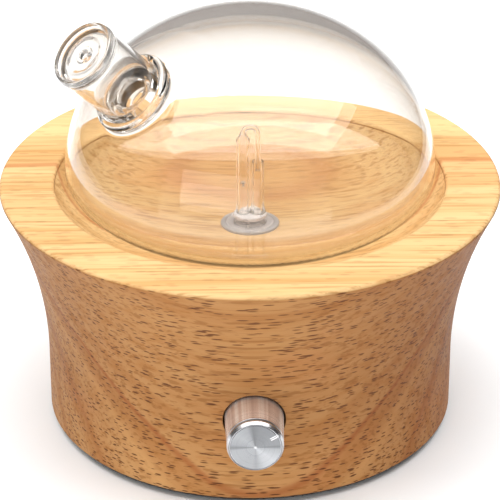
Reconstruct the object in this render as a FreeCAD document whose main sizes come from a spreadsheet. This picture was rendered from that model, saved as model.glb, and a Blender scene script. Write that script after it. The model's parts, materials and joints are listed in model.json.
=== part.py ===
"""Essential oil diffuser: a turned wooden base with a glass vessel, its stopper, an air pump and a dial.

Millimetres, +Z up.  The origin is on the standing surface, under the centre of the base.
The dial faces -Y and the power inlet +Y.  The vessel's neck leans to the left (-X) and forward (-Y).
"""
import FreeCAD, Part
import math
import os
import re
import Sketcher
from FreeCAD import Rotation, Vector

doc = FreeCAD.newDocument("OilDiffuser")
sheet = doc.addObject("Spreadsheet::Sheet", "Dims")

DIMENSIONS = [
    # wooden base
    ("plate_gap", 1.0, "underside of the bottom plate above the standing surface"),
    ("plate_rim", 0.8, "rim of the bottom plate that shows under the wood"),
    ("wood_tall", 67.0, "height of the wooden base"),
    ("rim_radius", 67.5, "outer radius of the wood at its rim"),
    ("waist_radius", 55.75, "outer radius of the straight lower part"),
    ("flare_start", 17.0, "height where the wall starts to flare"),
    ("rim_round", 1.0, "rounding of the rim's edges"),
    ("recess_radius", 52.6, "radius of the recess under its rounded edge"),
    ("recess_deep", 14.8, "depth of the recess at its middle"),
    ("dish_radius", 36.0, "radius of the gently dished recess floor"),
    ("dish_rise", 3.6, "rise of the dished floor at that radius"),
    ("cove_radius", 28.0, "cove between the dished floor and the recess wall"),
    ("seat_radius", 8.3, "flat spot in the recess for the grommet"),
    ("cavity_radius", 44.0, "radius of the hollow underneath"),
    ("deck_thick", 6.2, "wood left between the recess and the hollow"),
    # bottom plate
    ("plate_inset", 2.0, "part of the plate that sits in the wood"),
    ("plate_radius", 54.8, "radius of the plate's rim"),
    ("rebate_radius", 53.0, "rebate in the wood for the plate"),
    ("screw_ring", 49.0, "pitch radius of the plate's screws"),
    ("foot_radius", 4.0, "radius of a rubber foot"),
    ("foot_ring", 49.5, "pitch radius of the feet"),
    ("foot_sink", 0.6, "depth of a foot's recess in the plate"),
    ("vent_front", 16.5, "middle of the vents ahead of the base's axis"),
    # glass vessel
    ("dome_radius", 49.8, "outer radius of the vessel at its widest"),
    ("dome_rise", 42.5, "height of the dome above its widest ring"),
    ("bowl_drop", 17.9, "depth of the bowl below its widest ring"),
    ("widest_rise", 4.3, "widest ring above the top of the wood"),
    ("glass_wall", 1.6, "wall of the blown glass at its widest ring"),
    ("crown_wall", 4.6, "wall at the top of the dome"),
    ("bowl_wall", 2.2, "wall at the bottom of the bowl"),
    ("stem_radius", 4.25, "radius of the glass stem under the vessel"),
    ("stem_long", 10.4, "length of the stem"),
    ("air_bore", 1.2, "radius of the air passage in the stem"),
    ("neck_turn", 32.85, "degrees that the neck points forward of the left side"),
    ("neck_lift", 45.5, "degrees that the neck rises above level"),
    ("neck_origin", 3.0, "depth below the top of the wood where the neck's axis meets the vessel's"),
    ("neck_bore", 5.7, "radius of the bore for the stopper's plug"),
    ("neck_floor", 51.0, "distance along the neck to the floor of its socket"),
    ("neck_mouth", 53.3, "distance along the neck to its mouth"),
    ("neck_radius", 10.5, "outer radius of the neck under its bead"),
    ("socket_radius", 9.15, "radius of the neck's socket"),
    # stopper
    ("stopper_radius", 9.0, "outer radius of the stopper's cup"),
    ("stopper_end", 73.0, "distance along the neck to the stopper's lip"),
    ("stopper_wall", 1.6, "wall of the stopper's cup"),
    ("fit_gap", 0.08, "radial clearance of the sliding glass fits"),
    # dial and potentiometer
    ("dial_high", 24.25, "dial's axis above the bottom of the wood"),
    ("dial_hole", 8.25, "radius of the dial's hole in the wood"),
    ("knob_front", 68.9, "front face of the knob ahead of the base's axis"),
    ("knob_long", 16.6, "length of the knob"),
    ("knob_radius", 7.75, "radius of the knob's rear end"),
    ("knob_edge", 7.35, "radius of the knob at its front edge"),
    ("knob_face", 6.8, "radius of the knob's face"),
    ("insert_radius", 5.6, "radius of the insert in the knob"),
    ("shaft_radius", 3.0, "radius of the potentiometer's shaft"),
    ("run_gap", 0.05, "radial clearance of the running fits"),
    ("bracket_front", 41.0, "front of the bracket ahead of the base's axis"),
    ("sheet_thick", 1.5, "thickness of the bent steel bracket"),
    # air pump
    ("pump_back", 16.0, "pump's axis behind the base's axis"),
    ("pump_high", 20.0, "pump's axis above the standing surface"),
    ("motor_radius", 12.0, "radius of the motor"),
    ("motor_long", 27.0, "length of the motor"),
    ("head_wide", 24.0, "width and height of the pump's head"),
    ("barb_radius", 2.6, "radius of the hose barbs"),
    ("hose_wall", 1.0, "wall of the silicone hose"),
    # electronics and inlet
    ("board_high", 7.0, "underside of the control board above the standing surface"),
    ("board_thick", 1.6, "thickness of the control board"),
    ("jack_high", 12.0, "power inlet's axis above the bottom of the wood"),
    ("jack_radius", 5.4, "radius of the power inlet's barrel"),
    ("screw_radius", 1.4, "radius of the larger screws"),
    ("small_screw", 1.0, "radius of the smaller screws"),
]
for row, (alias, number, meaning) in enumerate(DIMENSIONS, start=1):
    sheet.set(f"A{row}", meaning)
    sheet.set(f"B{row}", str(number))
    sheet.setAlias(f"B{row}", alias)
doc.recompute()

WOOD_LOW = "(plate_gap + plate_rim)"
WOOD_TOP = "(plate_gap + plate_rim + wood_tall)"
PLATE_TOP = "(plate_gap + plate_rim + plate_inset)"
DIAL_Z = "(plate_gap + plate_rim + dial_high)"
JACK_Z = "(plate_gap + plate_rim + jack_high)"
SEAT_Z = "(plate_gap + plate_rim + wood_tall - recess_deep)"
DECK_Z = "(plate_gap + plate_rim + wood_tall - recess_deep - deck_thick)"
WIDEST_Z = "(plate_gap + plate_rim + wood_tall + widest_rise)"
BOARD_TOP = "(board_high + board_thick)"

UPRIGHT = Rotation()
TO_FRONT = Rotation(Vector(1, 0, 0), 90)  # local Z points to -Y
TO_BACK = Rotation(Vector(1, 0, 0), -90)  # local Z points to +Y
TO_RIGHT = Rotation(Vector(0, 1, 0), 90)  # local Z points to +X

nodes = []


def bound(expression):
    """The expression with each dimension's name prefixed by the sheet's."""
    return re.sub(r"\b([a-z]+_[a-z_]+)\b", r"Dims.\1", str(expression))


def value(expression):
    """The number an expression gives now."""
    return float(sheet.evalExpression(bound(expression)))


def place(thing, at=(0, 0, 0), turn=UPRIGHT):
    """Turn an object and bind its position to the sheet."""
    thing.Placement.Rotation = turn
    for axis, expression in zip("xyz", at):
        thing.setExpression(f"Placement.Base.{axis}", bound(expression))
    return thing


def solid(kind, name, at=(0, 0, 0), turn=UPRIGHT, **sizes):
    """A Part primitive whose sizes and position are bound to the sheet."""
    thing = doc.addObject(f"Part::{kind}", name)
    for size, expression in sizes.items():
        thing.setExpression(size, bound(expression))
    return place(thing, at, turn)


def rod(name, radius, length, at=(0, 0, 0), turn=UPRIGHT):
    """A cylinder that starts at a point and runs along its local Z."""
    return solid("Cylinder", name, at, turn, Radius=radius, Height=length)


def block(name, low, high):
    """A box between two corners."""
    spans = [f"({b}) - ({a})" for a, b in zip(low, high)]
    return solid("Box", name, low, Length=spans[0], Width=spans[1], Height=spans[2])


def join(name, pieces):
    """Pieces made in one, such as a moulding and its bosses."""
    thing = doc.addObject("Part::MultiFuse", name)
    thing.Shapes = pieces
    return thing


def gather(name, pieces):
    """Separate identical pieces that share one node."""
    thing = doc.addObject("Part::Compound", name)
    thing.Links = pieces
    return thing


def cut(name, base, tools):
    """A piece with holes or recesses cut out of it."""
    thing = doc.addObject("Part::Cut", name)
    thing.Base = base
    thing.Tool = tools[0] if len(tools) == 1 else join(name + "_cuts", tools)
    return thing


def keep(thing, label):
    """Name a finished sub-part, which is written under that name."""
    thing.Label = label
    nodes.append(thing)
    return thing


def arc_middle(start, end, radius):
    """Middle point of the short arc between two points; a positive radius bulges right of the way."""
    chord = end - start
    half = chord.Length / 2
    sagitta = abs(radius) - math.sqrt(radius**2 - half**2)
    side = Vector(chord.y, -chord.x, 0).normalize() * math.copysign(sagitta, radius)
    return (start + end) / 2 + side


def fix_corner(sketch, edge, end, corner):
    """Bind one end of an edge to its corner."""
    for kind, number in (("DistanceX", 0), ("DistanceY", 1)):
        expression = corner[number]
        index = sketch.addConstraint(Sketcher.Constraint(kind, -1, 1, edge, end, value(expression)))
        sketch.setExpression(f"Constraints[{index}]", bound(expression))


def outline(sketch, corners):
    """Closed outline; a corner's third value is the radius of the arc that leads to it."""
    points = [Vector(value(corner[0]), value(corner[1]), 0) for corner in corners]
    for number, corner in enumerate(corners):
        start = points[number - 1]
        end = points[number]
        if len(corner) == 3:
            middle = arc_middle(start, end, value(corner[2]))
            edge = sketch.addGeometry(Part.Arc(start, middle, end), False)
            index = sketch.addConstraint(Sketcher.Constraint("Radius", edge, abs(value(corner[2]))))
            sketch.setExpression(f"Constraints[{index}]", bound(f"abs({corner[2]})"))
        else:
            edge = sketch.addGeometry(Part.LineSegment(start, end), False)
        for which in (1, 2):
            found = sketch.getPoint(edge, which)
            near_start = found.distanceToPoint(start) < found.distanceToPoint(end)
            fix_corner(sketch, edge, which, corners[number - 1] if near_start else corner)


def new_body(name, plane):
    """A PartDesign body with a sketch on one of its origin planes."""
    body = doc.addObject("PartDesign::Body", name)
    sketch = body.newObject("Sketcher::SketchObject", name + "_sketch")
    support = next(item for item in body.Origin.OriginFeatures if item.Role == plane)
    sketch.AttachmentSupport = [(support, "")]
    sketch.MapMode = "FlatFace"
    return body, sketch


def turned(name, corners, at=(0, 0, 0), turn=UPRIGHT):
    """A body turned about its local Z from an outline of (radius, height) corners."""
    body, sketch = new_body(name, "XZ_Plane")
    outline(sketch, corners)
    revolution = body.newObject("PartDesign::Revolution", name + "_turning")
    revolution.Profile = sketch
    revolution.ReferenceAxis = (sketch, ["V_Axis"])
    revolution.Angle = 360
    return place(body, at, turn)


def padded(name, corners, thickness, plane="XY_Plane", at=(0, 0, 0), turn=UPRIGHT):
    """A body padded from an outline by a thickness, along the plane's normal."""
    body, sketch = new_body(name, plane)
    outline(sketch, corners)
    pad = body.newObject("PartDesign::Pad", name + "_pad")
    pad.Profile = sketch
    pad.setExpression("Length", bound(thickness))
    return place(body, at, turn)


def ring_of(count, radius, first=0.0):
    """Positions evenly spaced on a ring, as expressions."""
    angles = [math.radians(first + 360 * number / count) for number in range(count)]
    return [(f"({radius}) * {math.cos(a):.9f}", f"({radius}) * {math.sin(a):.9f}") for a in angles]


def neck_rotation():
    """Rotation that takes local Z to the neck's direction."""
    turn = math.radians(value("neck_turn"))
    return Rotation(Vector(math.sin(turn), -math.cos(turn), 0), 90 - value("neck_lift"))


def pan_screw(name, radius, head, head_tall, length, at):
    """A pan-head screw that points down from the underside of its head."""
    corners = [
        (0, f"-({length})"),
        (f"({radius}) * 0.55", f"-({length})"),
        (radius, f"-({length}) + ({radius})"),
        (radius, 0),
        (head, 0),
        (head, f"({head_tall}) * 0.5"),
        (f"({head}) * 0.7", head_tall, head),
        (0, head_tall),
    ]
    return turned(name, corners, at)


def pipe(name, points, radius, outer, inner=0.0):
    """A round tube along straight runs joined by tangent arcs."""
    path = [Vector(*(value(number) for number in point)) for point in points]
    edges = []
    start = path[0]
    for before, corner, after in zip(path, path[1:], path[2:]):
        arriving = (corner - before).normalize()
        leaving = (after - corner).normalize()
        half = arriving.getAngle(leaving) / 2
        reach = radius * math.tan(half)
        first = corner - arriving * reach
        last = corner + leaving * reach
        inward = (leaving - arriving).normalize()
        middle = corner + inward * (radius / math.cos(half) - radius)
        edges.append(Part.LineSegment(start, first).toShape())
        edges.append(Part.Arc(first, middle, last).toShape())
        start = last
    edges.append(Part.LineSegment(start, path[-1]).toShape())
    spine = Part.Wire(edges)
    heading = path[1] - path[0]

    def swept(size):
        ring = Part.Wire([Part.Circle(path[0], heading, size).toShape()])
        return spine.makePipeShell([ring], True, False)

    shape = swept(value(outer))
    if value(inner) > 0:
        shape = shape.cut(swept(value(inner)))
    section = math.pi * (value(outer) ** 2 - value(inner) ** 2)
    fill = shape.Volume / section / spine.Length
    print(f"{name}: bend radius {radius}, volume over section x length {fill:.4f}")
    thing = doc.addObject("Part::Feature", name)
    thing.Shape = shape
    return thing


# --- wooden base ---------------------------------------------------------------------------------


def wood_base():
    """Turned, flared wooden base with a dished recess on top and a hollow underneath."""
    flare_tall = "(wood_tall - flare_start - rim_round)"
    flare_out = "(rim_radius - waist_radius)"
    flare = f"({flare_tall} * {flare_tall} + {flare_out} * {flare_out}) / (2 * {flare_out})"
    chamfer = "0.6"
    corners = [
        ("seat_radius", f"{WOOD_TOP} - recess_deep"),
        ("dish_radius", f"{WOOD_TOP} - recess_deep + dish_rise", "180"),
        ("recess_radius", f"{WOOD_TOP} - rim_round", "cove_radius"),
        ("recess_radius + rim_round", WOOD_TOP, "-rim_round * 1.15"),
        ("rim_radius - rim_round", WOOD_TOP),
        ("rim_radius", f"{WOOD_TOP} - rim_round", "-rim_round"),
        ("waist_radius", f"{WOOD_LOW} + flare_start", f"{flare}"),
        ("waist_radius", f"{WOOD_LOW} + {chamfer}"),
        (f"waist_radius - {chamfer}", WOOD_LOW),
        ("rebate_radius", WOOD_LOW),
        ("rebate_radius", f"{PLATE_TOP} + 0.05"),
        ("cavity_radius", f"{PLATE_TOP} + 0.05"),
        ("cavity_radius", f"{DECK_Z} - 3"),
        ("cavity_radius - 3", DECK_Z, "3"),
        (0, DECK_Z),
        (0, f"{WOOD_TOP} - recess_deep"),
    ]
    blank = turned("WoodBlank", corners)
    half_wall = "cavity_radius - 4"
    holes = [rod("DialHole", "dial_hole", "20", (0, f"-({half_wall})", DIAL_Z), TO_FRONT)]
    holes.append(rod("JackHole", "jack_radius + 0.2", "20", (0, half_wall, JACK_Z), TO_BACK))
    holes.append(rod("JackFace", "7.4", "5", (0, "waist_radius - 1.5", JACK_Z), TO_BACK))
    holes.append(rod("JackNutFace", "9", "10", (0, "cavity_radius - 9.7", JACK_Z), TO_BACK))
    holes.append(rod("StemHole", "6.4", "20", (0, 0, f"{DECK_Z} - 5")))
    for number, (x, y) in enumerate(ring_of(4, "screw_ring", 45)):
        holes.append(rod(f"PlatePilot{number}", "screw_radius + 0.02", "12", (x, y, WOOD_LOW)))
    for number, (x, y) in enumerate(ring_of(3, "8.9", 90)):
        holes.append(rod(f"SocketPilot{number}", "small_screw + 0.02", "4.6", (x, y, f"{DECK_Z} - 0.5")))
    keep(cut("WoodBase", blank, holes), "wood_base")


def bottom_plate():
    """Moulded bottom plate with vents, a rebated rim, posts for the board and pilot holes."""
    corners = [
        (0, "plate_gap"),
        ("plate_radius - 0.4", "plate_gap"),
        ("plate_radius", "plate_gap + 0.4", "0.4"),
        ("plate_radius", WOOD_LOW),
        ("rebate_radius - 0.2", WOOD_LOW),
        ("rebate_radius - 0.2", PLATE_TOP),
        (0, PLATE_TOP),
    ]
    pieces = [turned("PlateDisc", corners)]
    tools = []
    for number, (x, y) in enumerate(BOARD_POSTS):
        post_tall = f"board_high - {PLATE_TOP} + 1"
        pieces.append(rod(f"BoardPost{number}", "2.5", post_tall, (x, y, f"{PLATE_TOP} - 1")))
        tools.append(rod(f"PostPilot{number}", "small_screw + 0.02", "4.8", (x, y, "board_high - 4.6")))
    for number, (x, y) in enumerate(ring_of(4, "screw_ring", 45)):
        tools.append(rod(f"PlateHole{number}", "screw_radius + 0.2", "6", (x, y, "plate_gap - 1")))
        tools.append(rod(f"HeadSink{number}", "3.1", "1.4", (x, y, "plate_gap")))
    for number, (x, y) in enumerate(ring_of(4, "foot_ring", 0)):
        tools.append(rod(f"FootSink{number}", "foot_radius + 0.02", "foot_sink", (x, y, "plate_gap")))
    for number, (x, y) in enumerate(ring_of(8, "9", 22.5) + ring_of(4, "4.5", 0)):
        at = (x, f"{y} - vent_front", "plate_gap - 1")
        tools.append(rod(f"Vent{number}", "1.3", "6", at))
    for number, (x, y) in enumerate(BRACKET_SCREWS + STRAP_SCREWS):
        tools.append(rod(f"Pilot{number}", "screw_radius - 0.18", "3", (x, y, f"{PLATE_TOP} - 2")))
    keep(cut("BottomPlate", join("PlateMoulding", pieces), tools), "bottom_plate")


def plate_fittings():
    """Screws, rubber feet and the dust filter of the bottom plate."""
    screws = []
    for number, (x, y) in enumerate(ring_of(4, "screw_ring", 45)):
        head_seat = (x, y, "plate_gap + 1.4")
        screw = pan_screw(f"PlateScrew{number}", "screw_radius", "2.8", "1.3", "11", head_seat)
        screw.Placement.Rotation = Rotation(Vector(1, 0, 0), 180)
        screws.append(screw)
    keep(gather("PlateScrews", screws), "plate_screws")

    feet = []
    for number, (x, y) in enumerate(ring_of(4, "foot_ring", 0)):
        corners = [
            (0, 0),
            ("foot_radius - 0.5", 0),
            ("foot_radius", "0.5", "0.5"),
            ("foot_radius", "plate_gap + foot_sink"),
            (0, "plate_gap + foot_sink"),
        ]
        feet.append(turned(f"Foot{number}", corners, (x, y, 0)))
    keep(gather("RubberFeet", feet), "rubber_feet")
    keep(rod("DustFilter", "12", "1.6", (0, "-vent_front", PLATE_TOP)), "dust_filter")


# --- glass ---------------------------------------------------------------------------------------


def half_ellipsoid(name, rise, radius, upper):
    """Half an ellipsoid of revolution on the vessel's widest ring."""
    thing = solid("Ellipsoid", name, (0, 0, WIDEST_Z), Radius1=rise, Radius2=radius, Radius3=radius)
    thing.Angle1 = 0 if upper else -90
    thing.Angle2 = 90 if upper else 0
    return thing


def dome_and_bowl():
    """Blown vessel without its neck: the dome with the neck's hole, and the bowl with its boss and stem."""
    lean = neck_rotation()
    dome = cut(
        "DomeShell",
        half_ellipsoid("DomeOut", "dome_rise", "dome_radius", True),
        [half_ellipsoid("DomeIn", "dome_rise - crown_wall", "dome_radius - glass_wall", True)],
    )
    keep(cut("GlassDome", dome, [on_neck("NeckSeam", "neck_radius", "neck_floor - 8")]), "glass_dome")

    shell = cut(
        "BowlShell",
        half_ellipsoid("BowlOut", "bowl_drop", "dome_radius", False),
        [half_ellipsoid("BowlIn", "bowl_drop - bowl_wall", "dome_radius - glass_wall", False)],
    )
    boss = rod("NozzleBoss", "4.8", "1.4", (0, 0, f"{WIDEST_Z} - bowl_drop + 1.5"))
    stem = rod("Stem", "stem_radius", "stem_long + 1", (0, 0, f"{WIDEST_Z} - bowl_drop - stem_long"))
    stem_bore = rod("StemBore", "air_bore", "20", (0, 0, f"{WIDEST_Z} - bowl_drop - stem_long - 1"))
    keep(cut("GlassBowl", join("BowlBlank", [shell, boss, stem]), [stem_bore]), "glass_bowl")

    bead = "1.9"
    corners = [
        (0, "neck_floor - 3.2"),
        ("neck_bore + 1.7", "neck_floor - 3.2"),
        ("neck_bore + 1.7", "neck_floor - 1.8"),
        ("neck_radius", "neck_floor - 1.8"),
        ("neck_radius", f"neck_mouth - {bead}"),
        ("neck_radius", "neck_mouth", "1.0"),
        (0, "neck_mouth"),
    ]
    root = (0, 0, f"{WOOD_TOP} - neck_origin")
    patch = doc.addObject("Part::Common", "NeckPatch")
    patch.Base = dome
    patch.Tool = on_neck("NeckPatchRim", "neck_radius", "neck_floor - 8")
    blank = join("NeckBlank", [patch, turned("NeckTurning", corners, root, lean)])
    bores = [
        on_neck("NeckBore", "neck_bore", "neck_floor - 8"),
        on_neck("NeckSocket", "socket_radius", "neck_floor"),
    ]
    keep(cut("GlassNeck", blank, bores), "glass_neck")


def on_neck(name, radius, along):
    """A cylinder on the neck's axis that starts a distance along it and ends past the mouth."""
    lean = neck_rotation()
    spots = [f"({along}) * {number:.9f}" for number in lean.multVec(Vector(0, 0, 1))]
    spots[2] += f" + {WOOD_TOP} - neck_origin"
    return rod(name, radius, "12", spots, lean)


NOZZLE_LOW = f"({WIDEST_Z} - bowl_drop + 2.9)"


def nozzle():
    """Glass atomiser inside the vessel: the air riser with its arched jet tube, and the oil tube."""
    riser_x = "-1.85"
    oil_x = "2.05"
    riser = "1.85"
    jet = "0.7"
    bend = "1.95"
    tall = "23.4"
    bend_x = f"({riser_x}) + {bend}"
    crown = (bend_x, 0, f"{NOZZLE_LOW} + {tall} + 2")
    arch = solid("Torus", "Arch", crown, TO_FRONT, Radius1=bend, Radius2=jet)
    arch.Angle3 = 180
    riser_top = (riser_x, 0, f"{NOZZLE_LOW} + {tall}")
    pieces = [
        turned(
            "NozzleFoot",
            [(0, 0), ("4.6", 0), ("4.6", "0.5"), ("4.1", "1.2", "0.9"), (0, "1.2")],
            (0, 0, NOZZLE_LOW),
        ),
        rod("Riser", riser, f"{tall} - 1", (riser_x, 0, f"{NOZZLE_LOW} + 1")),
        solid("Cone", "RiserTip", riser_top, Radius1=riser, Radius2=jet, Height="2"),
        arch,
        rod("JetTube", jet, "10", (oil_x, 0, f"{NOZZLE_LOW} + {tall} - 8")),
        rod("SideJet", "0.75", "2.9", (riser_x, 0, f"{NOZZLE_LOW} + 11"), TO_FRONT),
    ]
    bores = [
        rod("RiserBore", "0.95", f"{tall}", (riser_x, 0, f"{NOZZLE_LOW} - 0.5")),
        rod("SideBore", "0.3", "4", (riser_x, 0, f"{NOZZLE_LOW} + 11"), TO_FRONT),
    ]
    keep(cut("AirNozzle", join("NozzleGlass", pieces), bores), "air_nozzle")

    oil_corners = [
        ("1.1", "1.2"),
        ("1.9", "1.2"),
        ("1.62", "3.2", "-4"),
        ("1.62", "17"),
        ("1.1", "17"),
    ]
    keep(turned("OilTube", oil_corners, (oil_x, 0, NOZZLE_LOW)), "oil_tube")


def glass_stopper():
    """Hollow glass stopper: a plug, a thin-walled cup turned upside down, and a crown with the mist hole."""
    plug = "(neck_bore - fit_gap)"
    cup = "(stopper_radius - stopper_wall)"
    floor = "(neck_mouth + 0.6)"
    crown = "(stopper_end - 1.3)"
    under = "(stopper_end - 2.9)"
    passage = "4.4"
    hole = "1.3"
    corners = [
        (passage, "neck_floor - 4"),
        (f"{plug} - 0.5", "neck_floor - 4"),
        (plug, "neck_floor - 3.4"),
        (plug, "neck_floor + 0.02"),
        ("stopper_radius", "neck_floor + 0.02"),
        ("stopper_radius", "stopper_end - 1.4"),
        ("stopper_radius - 0.4", "stopper_end", "0.9"),
        (f"{cup} + 0.8", "stopper_end"),
        (f"{cup} + 0.4", crown),
        (f"{hole} + 1.5", crown),
        (f"{hole} + 1.1", f"{crown} + 0.5"),
        (f"{hole} + 0.4", f"{crown} + 0.5"),
        (hole, f"{crown} + 0.1"),
        (hole, under),
        (f"{cup} - 1", under),
        (cup, f"{under} - 1", "-1"),
        (cup, f"{floor} + 2"),
        (f"{cup} - 2", floor, "-2"),
        (passage, f"{floor} - 0.4"),
    ]
    root = (0, 0, f"{WOOD_TOP} - neck_origin")
    keep(turned("GlassStopper", corners, root, neck_rotation()), "glass_stopper")


# --- stem socket and hose ------------------------------------------------------------------------

BARB_Z = f"({DECK_Z} - 7.2)"


def stem_socket():
    """Silicone grommet, moulded socket with a side barb, its seal and its screws."""
    sleeve = "(stem_radius + fit_gap)"
    grommet_corners = [
        (sleeve, "-10"),
        ("4.95", "-10"),
        ("4.95", 0),
        ("8", 0),
        ("8", "0.7"),
        ("7.7", "1", "0.3"),
        (f"{sleeve} + 0.3", "1"),
        (sleeve, "0.7"),
    ]
    keep(turned("StemGrommet", grommet_corners, (0, 0, SEAT_Z)), "stem_grommet")

    body = turned(
        "SocketBody",
        [
            (0, f"{BARB_Z} - 4"),
            ("6.5", f"{BARB_Z} - 4"),
            ("6.5", f"{DECK_Z} - 2.5"),
            ("11", f"{DECK_Z} - 2.5"),
            ("11", DECK_Z),
            ("6.3", DECK_Z),
            ("6.3", f"{SEAT_Z} - 0.05"),
            (0, f"{SEAT_Z} - 0.05"),
        ],
    )
    barb = rod("SocketBarb", "barb_radius", "10", ("5", 0, BARB_Z), TO_RIGHT)
    tools = [
        rod("SleeveBore", "5", "20", (0, 0, f"{SEAT_Z} - 11.6")),
        rod("AirDrop", "1.5", "10", (0, 0, BARB_Z)),
        rod("BarbBore", "1.3", "18", ("0", 0, BARB_Z), TO_RIGHT),
    ]
    for number, (x, y) in enumerate(ring_of(3, "8.9", 90)):
        tools.append(rod(f"SocketHole{number}", "small_screw + 0.15", "6", (x, y, f"{DECK_Z} - 4")))
    keep(cut("StemSocket", join("SocketBlank", [body, barb]), tools), "stem_socket")

    seal = solid("Torus", "StemSeal", (0, 0, f"{SEAT_Z} - 10.8"), Radius1="3.9", Radius2="0.75")
    keep(seal, "stem_seal")

    screws = []
    for number, (x, y) in enumerate(ring_of(3, "8.9", 90)):
        head_seat = (x, y, f"{DECK_Z} - 2.5")
        screw = pan_screw(f"SocketScrew{number}", "small_screw", "1.9", "1.1", "6", head_seat)
        screw.Placement.Rotation = Rotation(Vector(1, 0, 0), 180)
        screws.append(screw)
    keep(gather("SocketScrews", screws), "socket_screws")


def air_hose():
    """Silicone hose from the pump's barb to the socket's barb."""
    points = [
        ("19", "pump_back", "pump_high"),
        ("36.5", "pump_back", "pump_high"),
        ("36.5", "0", BARB_Z),
        ("8", "0", BARB_Z),
    ]
    keep(pipe("AirHose", points, 9.0, "barb_radius + hose_wall", "barb_radius + 0.02"), "air_hose")


# --- air pump ------------------------------------------------------------------------------------


def on_pump(x):
    """A point on the pump's axis."""
    return (x, "pump_back", "pump_high")


HEAD_SCREWS = [(9.3, 9.3), (9.3, -9.3), (-9.3, 9.3), (-9.3, -9.3)]


def head_block(name, low, high):
    """A square slice of the pump's head."""
    near = "pump_back - head_wide / 2"
    far = "pump_back + head_wide / 2"
    return block(name, (low, near, "pump_high - head_wide / 2"), (high, far, "pump_high + head_wide / 2"))


def head_holes(name, radius, low, length):
    """The four corner holes of one slice of the head."""
    return [
        rod(f"{name}{n}", radius, length, (low, f"pump_back + {y}", f"pump_high + {z}"), TO_RIGHT)
        for n, (y, z) in enumerate(HEAD_SCREWS)
    ]


def pump():
    """Diaphragm air pump: motor, shaft with crank, housing, diaphragm, cover and screws."""
    motor = join(
        "MotorCan",
        [
            rod("Can", "motor_radius", "motor_long", on_pump("-1 - motor_long"), TO_RIGHT),
            rod("MotorNose", "3.5", "3", on_pump("-1.5"), TO_RIGHT),
        ],
    )
    motor_bore = rod("MotorBore", "1 + run_gap", "14", on_pump("-10.3"), TO_RIGHT)
    keep(cut("PumpMotor", motor, [motor_bore]), "pump_motor")

    keep(rod("MotorShaft", "1", "16", on_pump("-10"), TO_RIGHT), "motor_shaft")
    crank = join(
        "CrankBlank",
        [
            rod("CrankDisc", "5.5", "3", on_pump("3"), TO_RIGHT),
            rod("CrankPin", "1", "4", ("5.5", "pump_back", "pump_high + 3"), TO_RIGHT),
        ],
    )
    keep(cut("PumpCrank", crank, [rod("CrankBore", "1.01", "5", on_pump("2"), TO_RIGHT)]), "pump_crank")

    housing_tools = [
        rod("CrankRoom", "8", "12", on_pump("2"), TO_RIGHT),
        rod("NoseHole", "3.55", "6", on_pump("-2"), TO_RIGHT),
    ]
    housing_tools += head_holes("HousingHole", "1.02", "3", "8")
    keep(cut("PumpHousing", head_block("HousingBlock", "-1", "10.5"), housing_tools), "pump_housing")

    diaphragm = head_block("DiaphragmBlock", "10.5", "12")
    keep(cut("PumpDiaphragm", diaphragm, head_holes("DiaHole", "1.15", "10", "3")), "pump_diaphragm")

    cover = join(
        "CoverBlank",
        [
            head_block("CoverBlock", "12", "18"),
            rod("PumpBarb", "barb_radius", "10", on_pump("16"), TO_RIGHT),
        ],
    )
    cover_tools = [
        rod("Chamber", "7", "2.5", on_pump("11.9"), TO_RIGHT),
        rod("OutletBore", "1.3", "20", on_pump("12"), TO_RIGHT),
        rod("InletBore", "1.0", "10", ("15.5", "pump_back - 20", "pump_high"), TO_BACK),
    ]
    cover_tools += head_holes("CoverHole", "1.15", "10", "10")
    keep(cut("PumpCover", cover, cover_tools), "pump_cover")

    screws = []
    for number, (y, z) in enumerate(HEAD_SCREWS):
        at = ("18", f"pump_back + {y}", f"pump_high + {z}")
        screw = pan_screw(f"HeadScrew{number}", "small_screw", "1.9", "1.1", "14", at)
        screw.Placement.Rotation = TO_RIGHT
        screws.append(screw)
    keep(gather("HeadScrews", screws), "pump_screws")


STRAP_SCREWS = [("-15", "pump_back - 16.1"), ("-15", "pump_back + 16.1")]


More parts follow.
